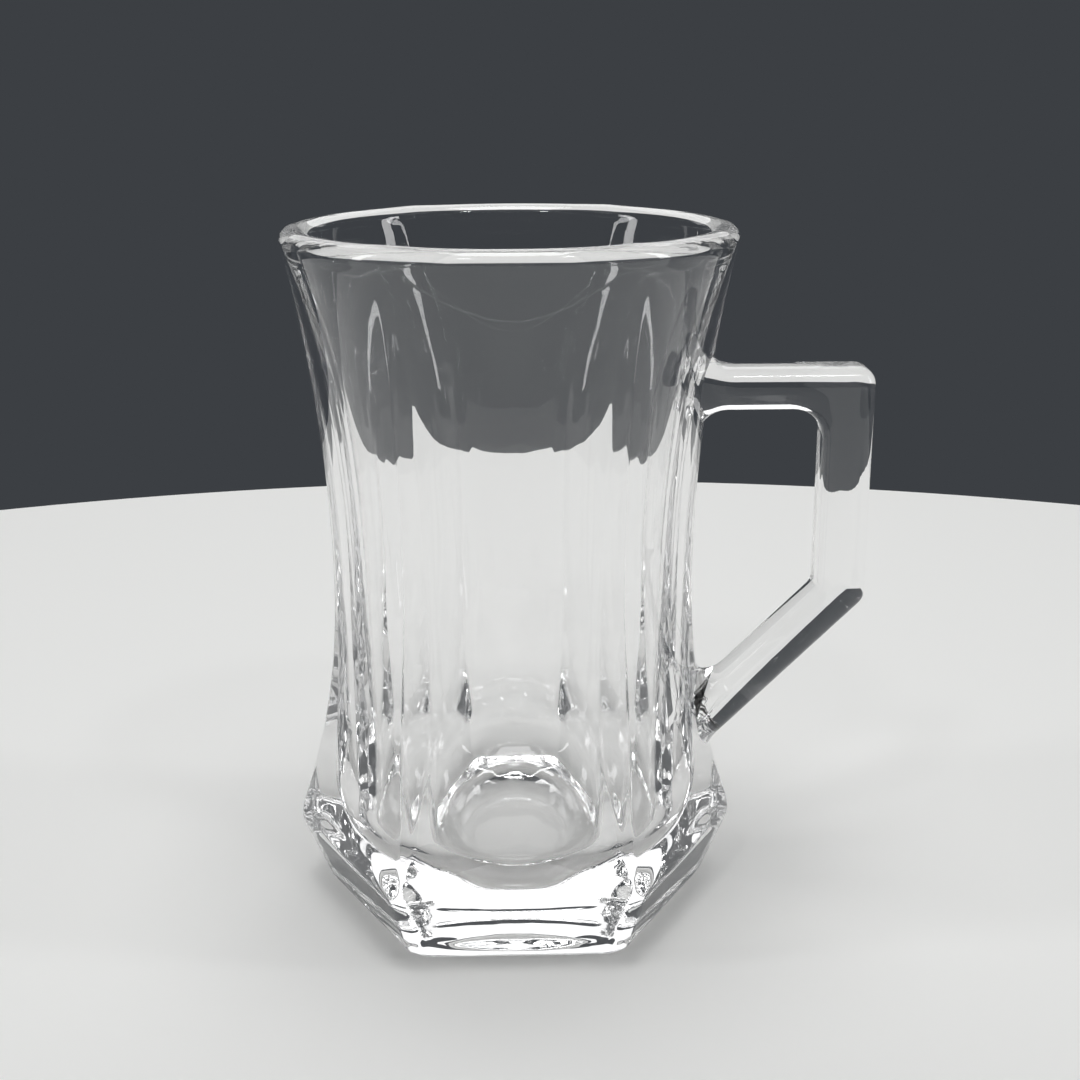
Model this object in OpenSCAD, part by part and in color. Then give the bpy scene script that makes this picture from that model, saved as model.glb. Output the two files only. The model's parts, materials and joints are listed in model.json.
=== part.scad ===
// Pressed glass tea mug: a waisted body with six panels on a hexagonal foot, and an angular handle applied
// to one of its ribs. Millimetres, +Z up. The origin is on the mug's axis, level with the surface that it
// stands on. The handle points along +X, and a flat panel faces -Y.

/* [Mug] */
// Overall height
mug_h = 105; // [98:1:112]
// Diameter over the ribs at the rim
rim_d = 66.8; // [66:0.2:66.8]
// Diameter over the ribs at the waist
waist_d = 55.1; // [53:0.1:57]
// Height of the ribs' waist above the table
waist_h = 51; // [50:0.5:52]

/* [Panels] */
// How far the middle of a panel lies below the ribs at the waist
panel_depth_waist = 1.85; // [1.4:0.05:2.2]
// How far it would lie below them at the rim, if the panels didn't run out
panel_depth_full = 2.6; // [2.2:0.05:2.8]
// How far it still lies below them at the rim
panel_depth_rim = 0.4; // [0.3:0.05:0.8]
// Height under the lip in which the panels run out
panel_runout = 26; // [24:1:28]
// How far behind the mug's axis a panel has its own turning axis: more is flatter
panel_axis_back = 60; // [56:1:75]

/* [Foot] */
// Width of the hexagonal foot across its flats
foot_w = 60.8; // [58:0.2:62]
// Width across the flats where the foot meets the table
foot_base_w = 52.8; // [50:0.2:56]
// Height of the edge under the foot's upright faces
foot_edge_h = 10.7; // [9:0.1:12]
// How much the corners of the hexagon are rounded off
foot_corner_trim = 0.8; // [0.5:0.1:1.2]
// Diameter of the shallow hollow underneath
hollow_d = 36; // [30:1:42]
// Depth of that hollow
hollow_depth = 1.5; // [1:0.1:2]

/* [Inside] */
// Thickness of the glass under the drink
base_t = 8; // [7:0.5:10]
// Inner diameter at the waist
bore_waist_d = 44; // [42:0.5:45]
// Inner diameter just above the rounded floor
bore_low_d = 42; // [40:0.5:43]
// Radius between the inner wall and the floor
floor_r = 8; // [6:0.5:10]
// Radius of the fire-polished lip, half of the wall over a rib
lip_r = 2.2; // [1.9:0.05:2.2]

/* [Handle] */
// Distance of the handle's outer face from the mug's axis
handle_reach = 54.2; // [51:0.2:58]
// Width of the upright bar
handle_bar_w = 7.6; // [7:0.1:8.5]
// Height of the top bar's upper face
handle_top_h = 83.8; // [80:0.5:87]
// Height of the top bar
handle_top_t = 6.4; // [5.8:0.1:7.5]
// Height at which the upright's outer face turns into the slanted bar
handle_elbow_h = 47.5; // [44:0.5:51]
// Thickness of the slanted bar
handle_slant_t = 6.6; // [6:0.1:7.5]
// Slope of the slanted bar in degrees
handle_slant_deg = 45; // [42:1:48]
// Thickness of the handle from side to side
handle_depth = 8.4; // [7:0.1:10]
// Radius along the handle's long edges
handle_edge_r = 2.5; // [2:0.1:2.6]

/* [Hidden] */
$fn = 180;
PANELS = 6;
PAST_END = 5;
PANEL_START = 8;
LOW_STEPS = 5;
MID_STEPS = 3;
RUNOUT_STEPS = 4;
PANEL_END = 2;
glass = [0.86, 0.92, 0.93, 0.5];

rim_r = rim_d / 2;
waist_r = waist_d / 2;
panel_full_r = rim_r - panel_depth_full;
panel_waist_r = waist_r - panel_depth_waist;
// A panel is narrowest a little above the ribs' waist, which makes the ribs taper upwards
panel_waist_h = waist_h + 2;
lip_h = mug_h - lip_r;
runout_h = lip_h - panel_runout;
half_sector = 180 / PANELS;

foot_r = foot_w / 2;
foot_base_r = foot_base_w / 2;
foot_corner_r = foot_r / cos(half_sector) - foot_corner_trim;
foot_base_corner_r = foot_base_r / cos(half_sector) - foot_corner_trim;
// The ribs run down to the foot's corners here
foot_shoulder_h = foot_edge_h + 2;
// The middle of a panel runs out over the foot's upright face here
foot_face_h = foot_edge_h + 5.5;
foot_bevel = 0.8;

bore_rim_r = rim_r - 2 * lip_r;
bore_waist_r = bore_waist_d / 2;
bore_low_r = bore_low_d / 2;
bore_waist_h = waist_h - 5;
floor_side_h = base_t + floor_r;

// Radius of an arc that starts upright and leans out by swell over a given rise
function flare_r(rise, swell) = (rise * rise + swell * swell) / (2 * swell);

rib_up_r = flare_r(lip_h - waist_h, rim_r - waist_r);
rib_low_r = flare_r(waist_h - foot_shoulder_h, foot_corner_r - waist_r);
panel_up_r = flare_r(lip_h - panel_waist_h, panel_full_r - panel_waist_r);
panel_low_r = flare_r(panel_waist_h - foot_face_h, foot_r - panel_waist_r);
bore_up_r = flare_r(lip_h - bore_waist_h, bore_rim_r - bore_waist_r);
hollow_r = flare_r(hollow_d / 2, hollow_depth);

// Radius at a height of a form that is upright at its waist, with one arc above it and another below
function waisted_r(radius, at_h, up_r, low_r, h) =
    let (arc = h > at_h ? up_r : low_r, rise = h - at_h)
    radius + arc - sqrt(arc * arc - rise * rise);
function rib_r(h) = waisted_r(waist_r, waist_h, rib_up_r, rib_low_r, h);
// Towards the rim, the middle of a panel comes out to meet the ribs
function panel_r(h) =
    waisted_r(panel_waist_r, panel_waist_h, panel_up_r, panel_low_r, h)
    + (panel_depth_full - panel_depth_rim) * pow(max(h - runout_h, 0) / panel_runout, 2);

// Heights in equal steps from one to another, without the last
function steps(from, to, count) = [for (i = [0:count - 1]) from + (to - from) * i / count];

// The middle of a panel from the foot up to just under the lip, in short straight steps
panel_line = [
    for (h = concat(
        steps(PANEL_START, panel_waist_h, LOW_STEPS),
        steps(panel_waist_h, runout_h, MID_STEPS),
        steps(runout_h, lip_h - PANEL_END, RUNOUT_STEPS),
        [lip_h - PANEL_END]
    ))
        [panel_r(h), h]
];

// Half outline of the ribs' waisted form: upright at the waist, with one arc above it and another below
module rib_outline() {
    difference() {
        square([2 * rim_r, mug_h]);
        intersection() {
            translate([waist_r + rib_up_r, waist_h]) circle(rib_up_r);
            translate([waist_r, waist_h]) square([2 * rib_up_r, mug_h]);
        }
        intersection() {
            translate([waist_r + rib_low_r, waist_h]) circle(rib_low_r);
            translate([waist_r, waist_h - mug_h]) square([2 * rib_low_r, mug_h]);
        }
    }
}

// Everything under a lip that rounds over to the top from the rim, and all that is below the waist
module under_lip() {
    square([2 * rim_r, waist_h]);
    square([rim_r - lip_r, mug_h]);
    square([rim_r, lip_h]);
    translate([rim_r - lip_r, lip_h]) circle(lip_r);
}

// Everything within the foot's corners, and all that is above the waist
module within_foot_corners() {
    polygon([
        [0, 0],
        [foot_base_corner_r - foot_bevel, 0],
        [foot_base_corner_r, foot_bevel],
        [foot_corner_r, foot_edge_h],
        [foot_corner_r, waist_h],
        [0, waist_h]
    ]);
    translate([0, waist_h - 1]) square([2 * rim_r, mug_h]);
}

// The round form whose surface is left standing as the ribs
module rib_form() {
    rotate_extrude()
        intersection() {
            rib_outline();
            under_lip();
            within_foot_corners();
        }
}

// One panel, slightly bowed from side to side because it turns on an axis behind the mug's own. Its last step
// goes straight on through the lip.
module panel_form() {
    back = [panel_axis_back, 0];
    first = panel_line[0];
    last = panel_line[len(panel_line) - 1];
    slope = last - panel_line[len(panel_line) - 2];
    beyond = last + slope * (mug_h + PAST_END - last[1]) / slope[1];
    translate(-back)
        rotate_extrude()
            polygon(concat(
                [[0, -PAST_END], [first[0], -PAST_END] + back],
                [for (p = panel_line) p + back],
                [beyond + back, [0, mug_h + PAST_END]]
            ));
}

// One opposite pair of the foot's flat faces, upright above their edge and drawn in below it
module foot_pair_form() {
    side = [
        [foot_base_r - foot_bevel - PAST_END, -PAST_END],
        [foot_base_r, foot_bevel],
        [foot_r, foot_edge_h],
        [foot_r, waist_h],
        [2 * rim_r, waist_h],
        [2 * rim_r, mug_h + PAST_END]
    ];
    other_side = [for (i = [len(side) - 1:-1:0]) [-side[i][0], side[i][1]]];
    rotate([90, 0, 90])
        linear_extrude(4 * rim_r, center = true) polygon(concat(side, other_side));
}

// The ribs' round form with its first few panels pressed in, one after another
module panelled_form(count) {
    if (count == 0) rib_form();
    else
        intersection() {
            panelled_form(count - 1);
            rotate(half_sector + count * 360 / PANELS) panel_form();
        }
}

// The first few pairs of flat faces, which leave the hexagon
module foot_form(count) {
    if (count == 1) rotate(360 / PANELS) foot_pair_form();
    else
        intersection() {
            foot_form(count - 1);
            rotate(count * 360 / PANELS) foot_pair_form();
        }
}

// The body before it is hollowed
module outer_form() {
    intersection() {
        panelled_form(PANELS);
        foot_form(PANELS / 2);
    }
}

// The round hollow for the drink, open past the rim
module bore_form() {
    rotate_extrude() {
        polygon([
            [0, base_t],
            [bore_low_r - floor_r, base_t],
            [bore_low_r - floor_r, floor_side_h],
            [bore_low_r, floor_side_h],
            [bore_waist_r, bore_waist_h],
            [0, bore_waist_h]
        ]);
        translate([bore_low_r - floor_r, floor_side_h]) circle(floor_r);
        difference() {
            translate([0, bore_waist_h]) square([bore_rim_r, lip_h - bore_waist_h]);
            translate([bore_waist_r + bore_up_r, bore_waist_h]) circle(bore_up_r);
        }
        difference() {
            translate([0, lip_h]) square([bore_rim_r + lip_r, lip_r + PAST_END]);
            translate([bore_rim_r + lip_r, lip_h]) circle(lip_r);
        }
    }
}

// Shallow dome under the base, so that the mug stands on the edge of its foot
module hollow_form() {
    translate([0, 0, hollow_depth - hollow_r]) sphere(hollow_r);
}

module body() {
    color(glass)
        difference() {
            outer_form();
            bore_form();
            hollow_form();
        }
}

// The handle is a stack of outlines across Y. Each outline runs round the bar from root to root, and its two
// roots lie on the body's surface, so that the handle meets the body face to face.
ARC_STEPS = 4;
EDGE_STEPS = 4;
ROOT_STEPS = 4;
TOP_CORNER_R = 2.7;
ELBOW_R = 2.7;
INNER_TOP_R = 4.5;
INNER_ELBOW_R = 2.5;
// How far each root's fillet reaches along the body and along the bar
TOP_FILLET = 3.2;
SLANT_UPPER_FILLET = 6;
SLANT_LOWER_FILLET = 2;
// How far a fillet is hollowed from its straight chord towards the corner: 1 would leave a feather edge
FILLET_HOLLOW = 0.4;
// The smallest radius that the rounded long edges leave at an outer corner
LEAST_CORNER_R = 0.8;

handle_inner_x = handle_reach - handle_bar_w;
handle_under_h = handle_top_h - handle_top_t;
slant_dir = [cos(handle_slant_deg), sin(handle_slant_deg)];
slant_left = [-slant_dir[1], slant_dir[0]];

// Radius of a panel's middle at a height, on its straight steps
function panel_step_r(h) = lookup(h, [for (p = panel_line) [p[1], p[0]]]);
// Where the body's surface is at a height, in the slice at a given Y: on the rib, or on the panel beside it
function body_x(y, h) =
    let (
        across = abs(y) + panel_axis_back * sin(half_sector),
        bowed_r = panel_step_r(h) + panel_axis_back,
        rib = sqrt(pow(rib_r(h), 2) - y * y)
    )
    min(rib, sqrt(bowed_r * bowed_r - across * across) - panel_axis_back * cos(half_sector));
// Where a straight edge from a point, along a direction, goes into the body: a few steps of substitution
function root_of(y, from, dir, tries = 8, x = 30) =
    let (h = from[1] + (x - from[0]) * dir[1] / dir[0])
    tries == 0 ? [body_x(y, h), h] : root_of(y, from, dir, tries - 1, body_x(y, h));

function unit(v) = v / norm(v);
function turned_left(v) = [-v[1], v[0]];

// Points round one rounded corner of an outline
function rounded_corner(before, p, after, radius) =
    let (
        into = unit(p - before),
        out = unit(after - p),
        side = into[0] * out[1] - into[1] * out[0] < 0 ? 1 : -1,
        turn = acos(into * out),
        n = turned_left(into),
        centre = p - into * radius * tan(turn / 2) - side * radius * n
    )
    [for (i = [0:ARC_STEPS])
        let (a = -side * turn * i / ARC_STEPS)
        centre + side * radius * [n[0] * cos(a) - n[1] * sin(a), n[0] * sin(a) + n[1] * cos(a)]];

// A fillet at a root, from the body's surface to the bar's edge, which leaves the root along dir
function root_fillet(y, root, dir, reach, up) =
    let (
        h = root[1] + (up ? reach : -reach),
        start = [body_x(y, h), h],
        end = root + dir * reach,
        bend = root * FILLET_HOLLOW + (start + end) / 2 * (1 - FILLET_HOLLOW)
    )
    [for (i = [0:ARC_STEPS])
        let (t = i / ARC_STEPS)
        (1 - t) * (1 - t) * start + 2 * t * (1 - t) * bend + t * t * end];

function reversed(list) = [for (i = [len(list) - 1:-1:0]) list[i]];

// Points on the body's surface between two heights, without the ends
function root_line(y, from, to) =
    [for (i = [1:ROOT_STEPS]) let (h = from + (to - from) * i / (ROOT_STEPS + 1)) [body_x(y, h), h]];

// The whole outline in the slice at y, drawn in by inset for the rounded long edges
function handle_slice(y, inset) =
    let (
        along_top = [1, 0],
        top_corner = [handle_reach, handle_top_h] + [-inset, -inset],
        inner_corner = [handle_inner_x, handle_under_h] + [inset, inset],
        lower_from = [handle_reach, handle_elbow_h] + slant_left * inset,
        upper_from = [handle_reach, handle_elbow_h] + slant_left * (handle_slant_t - inset),
        elbow = lower_from + slant_dir * (top_corner[0] - lower_from[0]) / slant_dir[0],
        inner_elbow = upper_from + slant_dir * (inner_corner[0] - upper_from[0]) / slant_dir[0],
        top_root = root_of(y, top_corner, along_top),
        under_root = root_of(y, inner_corner, along_top),
        lower_root = root_of(y, lower_from, slant_dir),
        upper_root = root_of(y, upper_from, slant_dir),
        top_fillet = root_fillet(y, top_root, along_top, TOP_FILLET, true),
        lower_fillet = root_fillet(y, lower_root, slant_dir, SLANT_LOWER_FILLET, false),
        upper_fillet = root_fillet(y, upper_root, slant_dir, SLANT_UPPER_FILLET, true),
        under_fillet = root_fillet(y, under_root, along_top, TOP_FILLET, false)
    )
    concat(
        top_fillet,
        rounded_corner(top_root, top_corner, elbow, max(TOP_CORNER_R - inset, LEAST_CORNER_R)),
        rounded_corner(top_corner, elbow, lower_root, max(ELBOW_R - inset, LEAST_CORNER_R)),
        reversed(lower_fillet),
        root_line(y, lower_fillet[0][1], upper_fillet[0][1]),
        upper_fillet,
        rounded_corner(upper_root, inner_elbow, inner_corner, INNER_ELBOW_R + inset),
        rounded_corner(inner_elbow, inner_corner, under_root, INNER_TOP_R + inset),
        reversed(under_fillet),
        root_line(y, under_fillet[0][1], top_fillet[0][1])
    );

// Triangles of one flat side of the handle, whose outline starts at point number first. They go across the bar
// between its outer and inner edges, and fan out from a hub inside each root.
function flat_side(first, count, hubs) =
    let (
        bar_start = ARC_STEPS,
        bar_end = 3 * (ARC_STEPS + 1),
        inner_sum = count - ROOT_STEPS - 1,
        low_root = [for (i = [bar_end:inner_sum - bar_end]) i],
        top_root = [for (i = [inner_sum - bar_start:count + bar_start]) i % count]
    )
    concat(
        [for (i = [bar_start:bar_end - 1])
            let (a = first + i, b = first + inner_sum - i)
            each [[a, a + 1, b], [a + 1, b - 1, b]]],
        hub_fan(first, low_root, hubs),
        hub_fan(first, top_root, hubs + 1)
    );
// Triangles from a hub to each edge of the ring of points round it
function hub_fan(first, ring, hub) =
    [for (i = [0:len(ring) - 1]) [first + ring[i], first + ring[(i + 1) % len(ring)], hub]];
// A point inside one root: close to the body, midway between the ends of the root's two fillets
function root_hub(slice, fillet_end, other_end, on_body) =
    (slice[fillet_end] + slice[other_end]) / 8 + (slice[on_body] + slice[on_body + 1]) * 3 / 8;
function flipped(triangles) = [for (t = triangles) [t[0], t[2], t[1]]];

module handle() {
    flat = handle_depth / 2 - handle_edge_r;
    edge = [for (i = [0:EDGE_STEPS]) let (a = 90 * i / EDGE_STEPS)
        [flat + handle_edge_r * sin(a), handle_edge_r * (1 - cos(a))]];
    layers = concat(
        [for (e = reversed(edge)) [-e[0], e[1]]],
        [[-flat / 2, 0], [0, 0], [flat / 2, 0]],
        edge
    );
    slices = [for (layer = layers) handle_slice(layer[0], layer[1])];
    last = len(layers) - 1;
    count = len(slices[0]);
    arc = ARC_STEPS + 1;
    half_root = ROOT_STEPS / 2;
    hubs = [for (k = [0, last])
        each [
            for (hub = [
                root_hub(slices[k], 3 * arc, 5 * arc + ROOT_STEPS - 1, 4 * arc + half_root - 1),
                root_hub(slices[k], arc - 1, 7 * arc + ROOT_STEPS, 8 * arc + ROOT_STEPS + half_root - 1)
            ])
                [hub[0], layers[k][0], hub[1]]
        ]
    ];
    points = concat(
        [for (k = [0:last], p = slices[k]) [p[0], layers[k][0], p[1]]],
        hubs
    );
    sides = [
        for (k = [0:last - 1], i = [0:count - 1])
            let (a = k * count + i, b = k * count + (i + 1) % count)
            each [[a, a + count, b + count], [a, b + count, b]]
    ];
    first_hub = (last + 1) * count;
    near_side = flat_side(0, count, first_hub);
    far_side = flipped(flat_side(last * count, count, first_hub + 2));
    color(glass) polyhedron(points, concat(near_side, far_side, sides));
}

body();
handle();
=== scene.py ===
# %% [markdown]
# # A pressed glass tea mug
# The mug is clear soda-lime glass: a waisted body with six panels on a hexagonal foot, and an angular
# handle that is joined to one of the body's ribs while both are hot. A panel faces the camera, and the
# handle points to the right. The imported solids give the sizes. Here both pieces are made again as fine
# smooth meshes, because glass shows every facet twice: once where light goes in and once where it comes
# out. Light also runs from face to face inside thick glass, so a ray may bounce more often here than
# Blender allows by default.

import json
import math

import bmesh
import bpy
from mathutils import Euler, Matrix, Vector

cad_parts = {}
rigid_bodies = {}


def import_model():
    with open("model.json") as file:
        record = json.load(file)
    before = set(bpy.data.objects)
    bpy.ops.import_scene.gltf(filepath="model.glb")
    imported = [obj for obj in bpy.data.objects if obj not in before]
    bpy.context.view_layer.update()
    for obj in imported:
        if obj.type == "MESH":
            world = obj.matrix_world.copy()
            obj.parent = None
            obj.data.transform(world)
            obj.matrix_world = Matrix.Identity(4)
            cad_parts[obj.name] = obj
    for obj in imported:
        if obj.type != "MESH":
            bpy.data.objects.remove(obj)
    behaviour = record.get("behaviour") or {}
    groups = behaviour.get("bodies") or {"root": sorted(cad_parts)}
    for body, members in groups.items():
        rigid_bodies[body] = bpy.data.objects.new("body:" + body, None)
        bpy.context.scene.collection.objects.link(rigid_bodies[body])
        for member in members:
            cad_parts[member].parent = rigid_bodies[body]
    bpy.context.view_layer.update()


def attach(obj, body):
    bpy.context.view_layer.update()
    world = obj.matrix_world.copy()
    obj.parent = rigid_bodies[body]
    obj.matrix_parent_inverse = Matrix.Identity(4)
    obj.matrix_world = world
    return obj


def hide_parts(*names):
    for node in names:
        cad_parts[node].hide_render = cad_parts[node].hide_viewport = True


MM = 0.001
ALL_BOUNCES = 32
GLASS_BOUNCES = 24

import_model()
scene = bpy.context.scene
scene.view_settings.view_transform = "Standard"
scene.cycles.max_bounces = ALL_BOUNCES
scene.cycles.glossy_bounces = GLASS_BOUNCES
scene.cycles.transmission_bounces = GLASS_BOUNCES

# %% [markdown]
# ## Camera
# The photograph was taken from close by, slightly above the rim, with the handle to the right and a panel
# almost square to the lens. The lens length is for a sensor 36 mm wide and a square picture. The camera is
# turned a little round the mug's axis, because the mug itself stays square to the axes.

# %% Camera
SENSOR_W = 36.0
FOCAL_PX = 1592.0
PICTURE_PX = 1080.0
ROUND_AXIS_DEG = -1.2
PITCH_DEG = 17.15
ROLL_DEG = -0.28
STAND = Vector((0.004156, -0.234, 0.129))
NEAREST_SEEN = 0.01

camera_data = bpy.data.cameras.new("camera")
camera_data.sensor_width = SENSOR_W
camera_data.lens = SENSOR_W * FOCAL_PX / PICTURE_PX
camera_data.clip_start = NEAREST_SEEN
camera = bpy.data.objects.new("camera", camera_data)
scene.collection.objects.link(camera)
round_axis = Matrix.Rotation(math.radians(ROUND_AXIS_DEG), 4, "Z")
tilt = Euler((math.radians(90 - PITCH_DEG), 0, 0)).to_matrix().to_4x4()
roll = Euler((0, 0, math.radians(ROLL_DEG))).to_matrix().to_4x4()
camera.matrix_world = round_axis @ Matrix.Translation(STAND) @ tilt @ roll
scene.camera = camera
print("camera:", round(camera_data.lens, 2), "mm, at", [round(x, 4) for x in camera.matrix_world.translation])

# %% [markdown]
# ## Body: the sizes
# A press mould is cut from a few simple surfaces, so a few numbers describe the outside: a round waisted
# form for the ribs, a bowed waisted surface for each panel, and a flat-sided foot. All are in millimetres,
# and are the same as in the solids.

# %% Body sizes
PANELS = 6
SECTOR = math.radians(360 / PANELS)
MUG_H = 105.0
RIM_R = 33.4
WAIST_R = 27.55
WAIST_H = 51.0
PANEL_WAIST_DEPTH = 1.85
PANEL_WAIST_R = WAIST_R - PANEL_WAIST_DEPTH
PANEL_WAIST_H = WAIST_H + 2.0
PANEL_BACK = 60.0
PANEL_FULL_DEPTH = 2.6
PANEL_RIM_DEPTH = 0.4
PANEL_RUNOUT = 26.0
FOOT_R = 30.4
FOOT_BASE_R = 26.4
FOOT_EDGE_H = 10.7
CORNER_TRIM = 0.8
FOOT_SHOULDER_H = FOOT_EDGE_H + 2.0
FOOT_FACE_H = FOOT_EDGE_H + 5.5
HOLLOW_R = 18.0
HOLLOW_DEPTH = 1.5
FLOOR_H = 8.0
FLOOR_ROUND = 8.0
LIP_R = 2.2
LIP_H = MUG_H - LIP_R
BORE_RIM_R = RIM_R - 2 * LIP_R
BORE_WAIST_R = 22.0
BORE_WAIST_H = WAIST_H - 5.0
BORE_LOW_R = 21.0
BORE_LOW_H = FLOOR_H + FLOOR_ROUND


def flare_radius(rise, swell):
    """Radius of an arc that starts upright and leans out by swell over a rise."""
    return (rise * rise + swell * swell) / (2 * swell)


def arc_out(radius, rise):
    """How far such an arc has leaned out after a rise."""
    return radius - math.sqrt(radius * radius - rise * rise)


CORNER_R = FOOT_R / math.cos(SECTOR / 2) - CORNER_TRIM
CORNER_BASE_R = FOOT_BASE_R / math.cos(SECTOR / 2) - CORNER_TRIM
RIB_UP = flare_radius(LIP_H - WAIST_H, RIM_R - WAIST_R)
RIB_LOW = flare_radius(WAIST_H - FOOT_SHOULDER_H, CORNER_R - WAIST_R)
PANEL_UP = flare_radius(LIP_H - PANEL_WAIST_H, RIM_R - PANEL_FULL_DEPTH - PANEL_WAIST_R)
PANEL_LOW = flare_radius(PANEL_WAIST_H - FOOT_FACE_H, FOOT_R - PANEL_WAIST_R)
BORE_UP = flare_radius(LIP_H - BORE_WAIST_H, BORE_RIM_R - BORE_WAIST_R)
print("ribs flare with radii", round(RIB_UP), "and", round(RIB_LOW), "mm")

# %% [markdown]
# ## Body: the outside as a formula
# Where two surfaces of a mould meet, the flame that polishes the glass rounds the edge. A soft minimum does
# the same to a formula: away from the edge it is the smaller of the two radii, and near it the two run
# together. A bevel is equally wide all along an edge, and these edges fade out towards the rim, so the
# formula was chosen.

# %% Outside of the body
EDGE_SOFT = 0.12
FOOT_SOFT = 0.45
FOOT_EDGE_ROUND = 1.0


def soft_min(a, b, blend):
    """The smaller of two lengths, run together where they differ by less than blend."""
    near = max(blend - abs(a - b), 0.0) / blend
    return min(a, b) - near * near * blend / 4


def rib_r(h):
    """Radius of the ribs at a height."""
    if h > WAIST_H:
        return WAIST_R + arc_out(RIB_UP, h - WAIST_H)
    flank = WAIST_R + arc_out(RIB_LOW, WAIST_H - h)
    drawn_in = CORNER_BASE_R + (CORNER_R - CORNER_BASE_R) * h / FOOT_EDGE_H
    return soft_min(flank, soft_min(CORNER_R, drawn_in, FOOT_SOFT), FOOT_SOFT)


def panel_r(h, angle):
    """Distance of a panel from the mug's axis, at an angle from the panel's middle."""
    flare = PANEL_UP if h > PANEL_WAIST_H else PANEL_LOW
    bowed_r = PANEL_WAIST_R + arc_out(flare, abs(h - PANEL_WAIST_H)) + PANEL_BACK
    r = math.sqrt(bowed_r**2 - (PANEL_BACK * math.sin(angle)) ** 2) - PANEL_BACK * math.cos(angle)
    run = max(h - LIP_H + PANEL_RUNOUT, 0.0) / PANEL_RUNOUT
    left = 1 - (1 - PANEL_RIM_DEPTH / PANEL_FULL_DEPTH) * run * run
    return rib_r(h) - (rib_r(h) - r) * left


def foot_r(h, angle):
    """Distance of the foot's flat face, upright above its edge and drawn in below it."""
    drawn_in = FOOT_BASE_R + (FOOT_R - FOOT_BASE_R) * h / FOOT_EDGE_H
    return soft_min(FOOT_R, drawn_in, FOOT_SOFT) / math.cos(angle)


def bottom_round(h):
    """How far the rounded bottom edge lies inside the side of the foot."""
    rise = max(FOOT_EDGE_ROUND - h, 0.0)
    return FOOT_EDGE_ROUND - math.sqrt(FOOT_EDGE_ROUND**2 - rise * rise)


def outer_r(h, angle):
    """Radius of the body's outside. The angle is from +X, where a rib carries the handle."""
    from_panel = (angle % SECTOR) - SECTOR / 2
    r = soft_min(rib_r(h), panel_r(h, from_panel), EDGE_SOFT)
    if h < WAIST_H:
        r = soft_min(r, foot_r(h, from_panel), FOOT_SOFT)
    return r - bottom_round(h)


def bore_r(h):
    """Radius of the inside, above its rounded floor."""
    if h > BORE_WAIST_H:
        return BORE_WAIST_R + arc_out(BORE_UP, h - BORE_WAIST_H)
    return BORE_LOW_R + (BORE_WAIST_R - BORE_LOW_R) * (h - BORE_LOW_H) / (BORE_WAIST_H - BORE_LOW_H)


print("wall at the waist:", round(outer_r(WAIST_H, SECTOR / 2) - bore_r(WAIST_H), 2), "mm in a panel")

# %% [markdown]
# ## Body: spin a round blank, then press the panels
# A gob of glass is round before the mould shapes it. The half outline runs from the middle of the hollow
# underneath, out over the foot, up the side, over the lip and down the inside to the middle of the floor.
# Spin turns it once round. Then each outside vertex moves in to the formula, as the mould presses the
# panels. The steps gather at the ribs, where the surface bends most, and lie closer in the foot than above.

# %% Half outline
FINE_H = 20.0
STEPS = {
    "hollow": 8, "ring": 5, "bottom edge": 7, "foot": 44, "side": 84,
    "lip": 22, "bore": 50, "floor edge": 12, "floor": 6,
}


def spaced(start, end, count):
    """Evenly spaced numbers from start up to, but not including, end."""
    return [start + (end - start) * i / count for i in range(count)]


def body_outline():
    """The half outline as (radius, height) points, with the ribs' radius outside."""
    dome_r = flare_radius(HOLLOW_R, HOLLOW_DEPTH)
    points = [(r, HOLLOW_DEPTH - arc_out(dome_r, r)) for r in spaced(0.0, HOLLOW_R, STEPS["hollow"])]
    points += [(r, 0.0) for r in spaced(HOLLOW_R, rib_r(0) - FOOT_EDGE_ROUND, STEPS["ring"])]
    turns = [math.radians(a) for a in spaced(0, 90, STEPS["bottom edge"])]
    heights = [FOOT_EDGE_ROUND * (1 - math.cos(turn)) for turn in turns]
    heights += spaced(FOOT_EDGE_ROUND, FINE_H, STEPS["foot"])
    heights += spaced(FINE_H, LIP_H, STEPS["side"])
    points += [(rib_r(h) - bottom_round(h), h) for h in heights]
    for turn in [math.radians(a) for a in spaced(0, 180, STEPS["lip"])]:
        points.append((RIM_R - LIP_R + LIP_R * math.cos(turn), LIP_H + LIP_R * math.sin(turn)))
    points += [(bore_r(h), h) for h in spaced(LIP_H, BORE_LOW_H, STEPS["bore"])]
    for turn in [math.radians(a) for a in spaced(0, 90, STEPS["floor edge"])]:
        r = BORE_LOW_R - FLOOR_ROUND * (1 - math.cos(turn))
        points.append((r, FLOOR_H + FLOOR_ROUND * (1 - math.sin(turn))))
    points += [(r, FLOOR_H) for r in spaced(BORE_LOW_R - FLOOR_ROUND, 0.0, STEPS["floor"])]
    return points + [(0.0, FLOOR_H)]


print("half outline:", len(body_outline()), "points")

# %% Body mesh
SPIN_STEPS = 384
GATHER = 0.5
RIM_DIP = 0.15
RIM_HUMP_POWER = 3
# A point this near to the ground, or to a surface or the axis, counts as lying on it.
TOUCH = 0.001
CLOSE = 0.01


def is_outside(r, h):
    """Whether a point of the blank is on the foot, the side or the lip."""
    if h >= LIP_H:
        return r > BORE_RIM_R
    on_side = r > rib_r(h) - bottom_round(h) - CLOSE
    return r > HOLLOW_R and (on_side or h < TOUCH)


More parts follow.
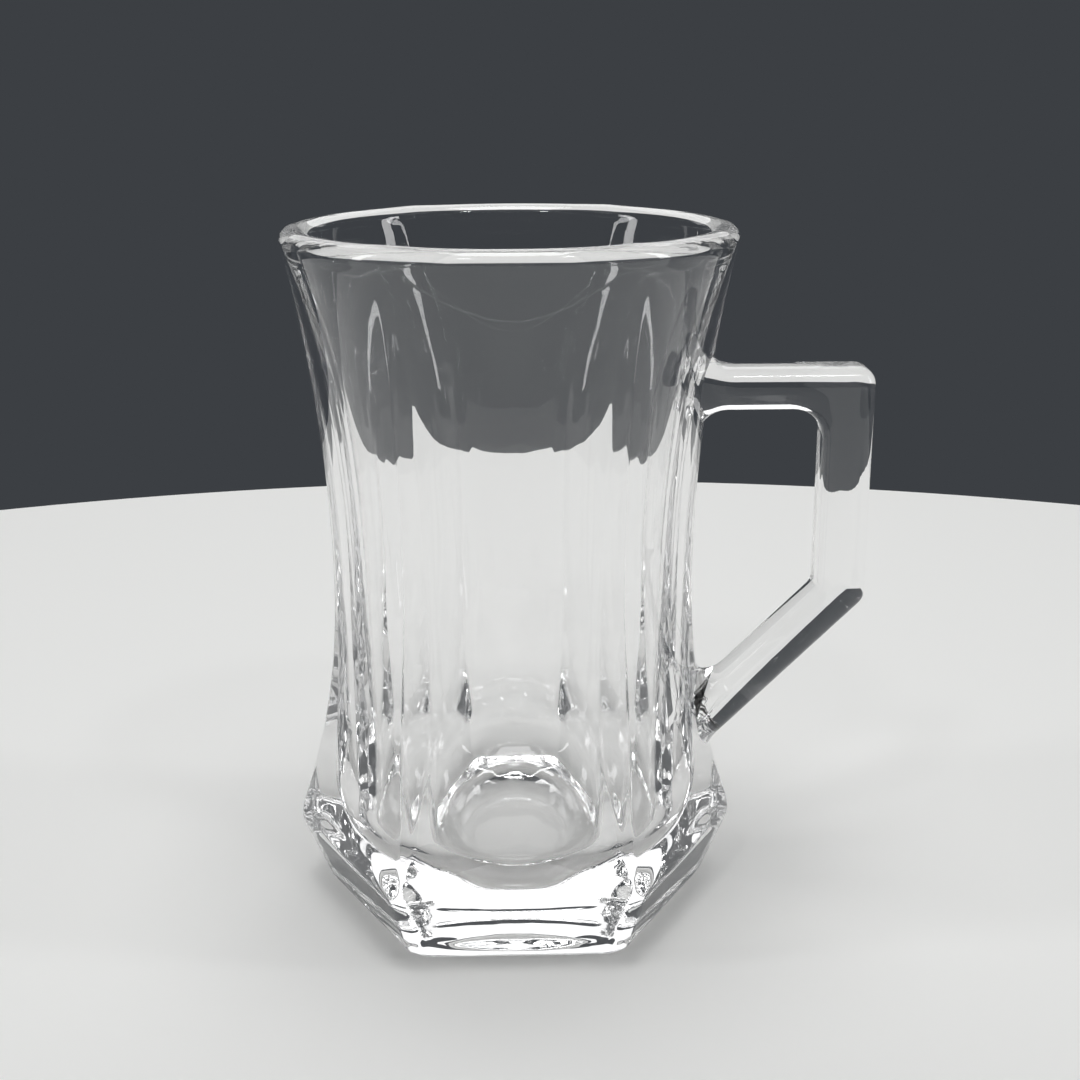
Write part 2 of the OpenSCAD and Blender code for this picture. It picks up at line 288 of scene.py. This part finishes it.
def pressed(r, h, angle):
    """Where the mould takes a point of the blank's outside: its new radius and height."""
    if h >= LIP_H:
        side = outer_r(LIP_H, angle)
        share = (side - BORE_RIM_R) / (RIM_R - BORE_RIM_R)
        over_rib = max(1 - (RIM_R - side) / PANEL_RIM_DEPTH, 0.0) ** RIM_HUMP_POWER
        dip = RIM_DIP * (1 - over_rib) * (h - LIP_H) / LIP_R
        return BORE_RIM_R + (r - BORE_RIM_R) * share, h - dip
    if h < TOUCH:
        blank = rib_r(h) - bottom_round(h)
        return HOLLOW_R + (r - HOLLOW_R) * (outer_r(0, angle) - HOLLOW_R) / (blank - HOLLOW_R), h
    return outer_r(h, angle), h


def smooth_object(bm, name):
    """A smooth-shaded object from a bmesh, which is freed."""
    mesh = bpy.data.meshes.new(name)
    for face in bm.faces:
        face.smooth = True
    bm.to_mesh(mesh)
    bm.free()
    made = bpy.data.objects.new(name, mesh)
    scene.collection.objects.link(made)
    return made


def triangles_in(piece):
    """How many triangles a piece's faces come to."""
    return sum(len(face.vertices) - 2 for face in piece.data.polygons)


def make_body():
    """The body's mesh, in metres."""
    bm = bmesh.new()
    verts = [bm.verts.new((r * MM, 0, h * MM)) for r, h in body_outline()]
    edges = [bm.edges.new(pair) for pair in zip(verts, verts[1:])]
    bmesh.ops.spin(bm, geom=verts + edges, cent=(0, 0, 0), axis=(0, 0, 1), angle=2 * math.pi,
                   steps=SPIN_STEPS, use_merge=True)
    bmesh.ops.remove_doubles(bm, verts=bm.verts, dist=1e-7)
    for v in bm.verts:
        r = math.hypot(v.co.x, v.co.y) / MM
        if r < CLOSE:
            continue
        h = v.co.z / MM
        angle = math.atan2(v.co.y, v.co.x)
        angle -= GATHER * math.sin(PANELS * angle) / PANELS
        if is_outside(r, h):
            r, h = pressed(r, h, angle)
        v.co = Vector((r * math.cos(angle), r * math.sin(angle), h)) * MM
    bmesh.ops.recalc_face_normals(bm, faces=bm.faces)
    return smooth_object(bm, "body_glass")


body = make_body()
print("body:", len(body.data.vertices), "vertices,", triangles_in(body), "triangles")

# %% [markdown]
# ## Handle: the outline
# The handle is a flat bar with rounded edges: a level top bar, an upright, and a bar that slants back to
# the body at 45 degrees. Its outer and its inner edge are drawn as two lines in the XZ plane. Each has two
# rounded corners, and a curve at either end that runs into the body's surface.

# %% Handle outline
HANDLE_REACH = 54.2
BAR_W = 7.6
TOP_H = 83.8
TOP_T = 6.4
ELBOW_H = 47.5
SLANT_T = 6.6
SLANT_ANGLE = math.radians(45)
SLANT = Vector((math.cos(SLANT_ANGLE), math.sin(SLANT_ANGLE)))
LEVEL = Vector((1.0, 0.0))
TOP_FILLET = 3.2
UNDER_SLANT_FILLET = 2.0
OVER_SLANT_FILLET = 6.0
OUTER_ROUND = 2.7
GAP_TOP_ROUND = 4.5
GAP_LOW_ROUND = 2.5
ARC_STEPS = 10
ROOT_STEPS = 8


def root_of(start, direction):
    """Where a straight edge of the bar goes into the body: a few steps of substitution."""
    x = WAIST_R
    for _ in range(ROOT_STEPS):
        h = start.y + (x - start.x) * direction.y / direction.x
        x = outer_r(h, 0)
    return Vector((x, h))


def bent(start, corner, end):
    """Points on a curve that leaves start towards a corner and arrives at end from it."""
    shares = [i / ARC_STEPS for i in range(ARC_STEPS + 1)]
    return [(1 - t) ** 2 * start + 2 * t * (1 - t) * corner + t * t * end for t in shares]


def root_fillet(root, direction, reach, way):
    """A curve from the body's surface above (way 1) or below (way -1) a root to the bar's edge."""
    h = root.y + way * reach
    return bent(Vector((outer_r(h, 0), h)), root, root + direction * reach)


def rounded_corner(before, corner, after, radius):
    """Points on an arc round one corner of the outline."""
    into = (corner - before).normalized()
    turn = into.angle_signed((after - corner).normalized())
    back = radius * math.tan(abs(turn) / 2)
    start = corner - into * back
    centre = start + into.orthogonal() * radius * math.copysign(1, -turn)
    angles = [-turn * i / ARC_STEPS for i in range(ARC_STEPS + 1)]
    return [centre + Matrix.Rotation(angle, 2) @ (start - centre) for angle in angles]


def outer_edge():
    """The bar's outer edge, from the top root to the low root."""
    top_corner = Vector((HANDLE_REACH, TOP_H))
    elbow = Vector((HANDLE_REACH, ELBOW_H))
    top_root = root_of(top_corner, LEVEL)
    low_root = root_of(elbow, SLANT)
    return (
        root_fillet(top_root, LEVEL, TOP_FILLET, 1)
        + rounded_corner(top_root, top_corner, elbow, OUTER_ROUND)
        + rounded_corner(top_corner, elbow, low_root, OUTER_ROUND)
        + root_fillet(low_root, SLANT, UNDER_SLANT_FILLET, -1)[::-1]
    )


def inner_edge():
    """The edge round the finger gap, from the top root to the low root."""
    top_corner = Vector((HANDLE_REACH - BAR_W, TOP_H - TOP_T))
    on_slant = Vector((HANDLE_REACH, ELBOW_H)) + Vector((-SLANT.y, SLANT.x)) * SLANT_T
    elbow = on_slant + SLANT * (top_corner.x - on_slant.x) / SLANT.x
    top_root = root_of(top_corner, LEVEL)
    low_root = root_of(elbow, SLANT)
    return (
        root_fillet(top_root, LEVEL, TOP_FILLET, -1)
        + rounded_corner(top_root, top_corner, elbow, GAP_TOP_ROUND)
        + rounded_corner(top_corner, elbow, low_root, GAP_LOW_ROUND)
        + root_fillet(low_root, SLANT, OVER_SLANT_FILLET, 1)[::-1]
    )


print("handle:", len(outer_edge()), "points along the outer edge,", len(inner_edge()), "along the inner one")

# %% [markdown]
# ## Handle: the bar
# A bridge between the two lines makes a flat sheet, an extrusion gives it thickness, and a bevel rounds its
# long edges. Soft glass spreads where it touches the body, so each root swells sideways and follows the
# round of the rib. The roots also sink a little way into the body, so that the two meshes can be joined.

# %% Handle mesh
HANDLE_DEPTH = 8.4
HANDLE_EDGE = 2.5
EDGE_SEGMENTS = 9
SPREAD = 0.35
SPREAD_REACH = 4.0
SPREAD_POWER = 2
SINK = 0.7
SINK_POWER = 8
SLICE_STEPS = 4
SIDEWAYS = 0.9


def body_x(y, h):
    """X of the body's outside on the handle's side, in the slice at y: a few steps of substitution."""
    x = rib_r(h)
    for _ in range(SLICE_STEPS):
        x = math.sqrt(outer_r(h, math.atan2(y, x)) ** 2 - y * y)
    return x


def gap_at(v):
    """How far a vertex in the handle's outline is from the body, in millimetres."""
    return v.co.x / MM - outer_r(v.co.z / MM, 0)


def settled(v):
    """Where soft glass leaves a vertex: spread sideways near the body, and sunk into it at the root."""
    h = v.co.z / MM
    near = max(1 - max(gap_at(v), 0) / SPREAD_REACH, 0.0) ** SPREAD_POWER
    wide = v.co.y / MM * (1 + SPREAD * near)
    shift = (body_x(wide, h) - outer_r(h, 0)) * near - SINK * near**SINK_POWER
    return Vector((v.co.x + shift * MM, wide * MM, v.co.z))


def is_long_edge(edge):
    """Whether an edge runs along the bar, between its flat side and its outline."""
    flat_sides = sum(abs(face.normal.y) > SIDEWAYS for face in edge.link_faces)
    return flat_sides == 1 and max(gap_at(v) for v in edge.verts) > CLOSE


def make_handle():
    """The handle's mesh, in metres."""
    bm = bmesh.new()
    edges = []
    for line in (outer_edge(), inner_edge()):
        verts = [bm.verts.new((p.x * MM, -HANDLE_DEPTH / 2 * MM, p.y * MM)) for p in line]
        edges += [bm.edges.new(pair) for pair in zip(verts, verts[1:])]
    bmesh.ops.bridge_loops(bm, edges=edges)
    grown = bmesh.ops.extrude_face_region(bm, geom=bm.faces[:])["geom"]
    moved = [g for g in grown if isinstance(g, bmesh.types.BMVert)]
    bmesh.ops.translate(bm, verts=moved, vec=(0, HANDLE_DEPTH * MM, 0))
    bmesh.ops.recalc_face_normals(bm, faces=bm.faces)
    long_edges = [edge for edge in bm.edges if is_long_edge(edge)]
    bmesh.ops.bevel(bm, geom=long_edges, affect="EDGES", offset=HANDLE_EDGE * MM,
                    segments=EDGE_SEGMENTS, profile=0.5, material=-1)
    places = [settled(v) for v in bm.verts]
    for v, place in zip(bm.verts, places):
        v.co = place
    open_edges = sum(not edge.is_manifold for edge in bm.edges)
    print("handle:", len(long_edges), "bevelled edges,", open_edges, "open edges")
    return smooth_object(bm, "handle_glass")


handle = make_handle()
print("handle:", len(handle.data.vertices), "vertices,", triangles_in(handle), "triangles")

# %% [markdown]
# ## Glass
# Soda-lime glass bends light with an index of about 1.52, and is clear where it is this thin. A pressed
# surface is never quite flat: the mould's chill and the polishing flame leave shallow waves, longer up and
# down the body than across it. A very low bump makes them. Hands leave a film that is almost too thin to
# see, so the roughness changes a little from place to place. Everything else that is seen in the glass
# comes from its form.

# %% Glass
GLASS_COLOUR = "fefefe"
GLASS_IOR = 1.52
FILM_MM = 14.0
FILM_ROUGHNESS = 0.05


def srgb(code):
    """A colour written as a hex code, in the linear numbers that nodes use."""
    channels = [int(code[i:i + 2], 16) / 255 for i in (0, 2, 4)]
    linear = [c / 12.92 if c <= 0.04045 else ((c + 0.055) / 1.055) ** 2.4 for c in channels]
    return (*linear, 1.0)


def add_node(tree, kind, links=None, **settings):
    """Adds a node, sets its inputs by name, and links inputs to other nodes' sockets."""
    node = tree.nodes.new(kind)
    for name, value in settings.items():
        if hasattr(node, name):
            setattr(node, name, value)
        else:
            node.inputs[name.replace("_", " ")].default_value = value
    for name, socket in (links or {}).items():
        tree.links.new(socket, node.inputs[name])
    return node


def glass_material(name, wave_mm, stretch, depth_mm):
    """Clear glass whose surface has waves of a given size, stretched upwards."""
    material = bpy.data.materials.new(name)
    material.use_nodes = True
    tree = material.node_tree
    shader = tree.nodes["Principled BSDF"]
    shader.inputs["Base Color"].default_value = srgb(GLASS_COLOUR)
    shader.inputs["IOR"].default_value = GLASS_IOR
    shader.inputs["Transmission Weight"].default_value = 1.0
    place = add_node(tree, "ShaderNodeTexCoord").outputs["Object"]
    per_metre = 1 / (wave_mm * MM)
    sized = add_node(tree, "ShaderNodeMapping", {"Vector": place},
                     Scale=(per_metre, per_metre, per_metre / stretch)).outputs["Vector"]
    waves = add_node(tree, "ShaderNodeTexNoise", {"Vector": sized}, Scale=1.0, Detail=1.5, Roughness=0.45)
    bump = add_node(tree, "ShaderNodeBump", {"Height": waves.outputs["Fac"]}, Strength=1.0,
                    Distance=depth_mm * MM)
    tree.links.new(bump.outputs["Normal"], shader.inputs["Normal"])
    film = add_node(tree, "ShaderNodeTexNoise", {"Vector": place}, Scale=1 / (FILM_MM * MM), Detail=3.0)
    rough = add_node(tree, "ShaderNodeMapRange", {"Value": film.outputs["Fac"]}, From_Min=0.5,
                     From_Max=0.8, To_Max=FILM_ROUGHNESS)
    tree.links.new(rough.outputs["Result"], shader.inputs["Roughness"])
    return material


pressed_glass = glass_material("soda-lime glass, pressed and fire-polished", wave_mm=8.0, stretch=2.5,
                               depth_mm=0.1)
drawn_glass = glass_material("soda-lime glass, drawn and hot-joined", wave_mm=6.0, stretch=1.5,
                             depth_mm=0.06)
for piece, index in ((body, 0), (handle, 1)):
    piece.data.materials.append(pressed_glass)
    piece.data.materials.append(drawn_glass)
    piece.data.polygons.foreach_set("material_index", [index] * len(piece.data.polygons))
print("glass:", pressed_glass.name, "and", drawn_glass.name)

# %% [markdown]
# ## Joining the handle
# Where the handle was pressed on hot, the two glasses became one, and no surface is left between them. A
# union removes the surfaces inside, and each face keeps its own material, so the result can be parted
# again into the body and the handle along the line where they meet. Each piece is then open at the two
# roots, and both together are closed, which is what light needs to pass from one into the other.

# %% Joining
def joined_mesh(first, second):
    """The union of two closed objects as one mesh."""
    union = first.modifiers.new("union", "BOOLEAN")
    union.operation = "UNION"
    union.solver = "MANIFOLD"
    union.object = second
    bpy.context.view_layer.update()
    mesh = bpy.data.meshes.new_from_object(first.evaluated_get(bpy.context.evaluated_depsgraph_get()))
    first.modifiers.remove(union)
    return mesh


def keep_material(piece, mesh, index):
    """Gives a piece only those faces of a mesh that have one of its materials."""
    bm = bmesh.new()
    bm.from_mesh(mesh)
    bmesh.ops.delete(bm, geom=[f for f in bm.faces if f.material_index != index], context="FACES")
    for face in bm.faces:
        face.material_index = 0
        face.smooth = True
    bm.to_mesh(piece.data)
    bm.free()
    piece.data.materials.pop(index=1 - index)


joined = joined_mesh(body, handle)
for index, piece in enumerate((body, handle)):
    keep_material(piece, joined, index)
    print(piece.name, "has", triangles_in(piece), "triangles of", [m.name for m in piece.data.materials])
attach(body, "root")
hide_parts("body")
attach(handle, "root")
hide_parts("handle")

# %% [markdown]
# ## Floor
# Clear glass has no colour of its own, and is drawn by what it bends and reflects. The mug stands on a pale
# round table top in front of a plain dark room. The table's far edge is level with the handle, as in the
# photograph, so it shows upside down in the handle and as a wavy line in the body. The paper on the table
# glows a little where the camera sees it, also through the glass. That keeps it pale and leaves the shadow.

# %% Floor
TABLE_R = 0.43
TABLE_Y = -0.183
TABLE_SEGMENTS = 256
UNDER_FOOT = 0.0001
PAPER_COLOUR = "e6e6e4"
PAPER_ROUGHNESS = 0.9
PAPER_GLOW = 0.15


def paper_material(name):
    """Matt paper with a faint glow for rays from the camera and from glass."""
    material = bpy.data.materials.new(name)
    material.use_nodes = True
    tree = material.node_tree
    shader = tree.nodes["Principled BSDF"]
    shader.inputs["Base Color"].default_value = srgb(PAPER_COLOUR)
    shader.inputs["Emission Color"].default_value = srgb(PAPER_COLOUR)
    shader.inputs["Roughness"].default_value = PAPER_ROUGHNESS
    ray = add_node(tree, "ShaderNodeLightPath").outputs
    direct = add_node(tree, "ShaderNodeMath", {0: ray["Is Camera Ray"], 1: ray["Is Glossy Ray"]},
                      operation="ADD")
    seen = add_node(tree, "ShaderNodeMath", {0: direct.outputs[0], 1: ray["Is Transmission Ray"]},
                    operation="ADD", use_clamp=True)
    part = add_node(tree, "ShaderNodeMath", {0: seen.outputs[0]}, operation="MULTIPLY")
    part.inputs[1].default_value = PAPER_GLOW
    tree.links.new(part.outputs[0], shader.inputs["Emission Strength"])
    return material


def make_table():
    """The table top as a disc, a hair's breadth under the foot."""
    bm = bmesh.new()
    bmesh.ops.create_circle(bm, cap_ends=True, radius=TABLE_R, segments=TABLE_SEGMENTS)
    bmesh.ops.translate(bm, verts=bm.verts, vec=(0, TABLE_Y, -UNDER_FOOT))
    return smooth_object(bm, "table")


table = make_table()
table.data.materials.append(paper_material("pale paper, matt"))
print("table:", round(2 * TABLE_R, 2), "m across")

# %% [markdown]
# ## Light
# Soft lamps stand round the mug. The foot's faces look up and backwards through the glass, so a wide lamp
# behind brightens them, out of the camera's sight. A tall strip on either side draws a line along each rib,
# and two small lamps in front leave the bright points that pressed glass has along its edges.

# %% Light
AIM = Vector((0, 0, 0.05))
ROOM_COLOUR = "3c3f43"


def add_lamp(name, place, width, height, watts):
    """A soft lamp with a rectangular face, turned to the mug."""
    data = bpy.data.lights.new(name, "AREA")
    data.shape = "RECTANGLE"
    data.size = width
    data.size_y = height
    data.energy = watts
    lamp = bpy.data.objects.new(name, data)
    scene.collection.objects.link(lamp)
    lamp.location = place
    lamp.rotation_euler = (AIM - lamp.location).to_track_quat("-Z", "Y").to_euler()


add_lamp("lamp_above", Vector((0.0, -0.05, 0.9)), 0.45, 0.45, 3.6)
add_lamp("lamp_behind", Vector((0.0, 0.57, 0.5)), 0.9, 0.5, 1.7)
add_lamp("lamp_left", Vector((-0.7, -0.1, 0.3)), 0.08, 0.5, 0.9)
add_lamp("lamp_right", Vector((0.7, -0.1, 0.3)), 0.08, 0.5, 0.9)
add_lamp("lamp_small_left", Vector((-0.25, -0.5, 0.75)), 0.07, 0.07, 0.4)
add_lamp("lamp_small_right", Vector((0.3, -0.4, 0.8)), 0.07, 0.07, 0.4)
world = bpy.data.worlds.new("room")
world.use_nodes = True
world.node_tree.nodes["Background"].inputs["Color"].default_value = srgb(ROOM_COLOUR)
scene.world = world
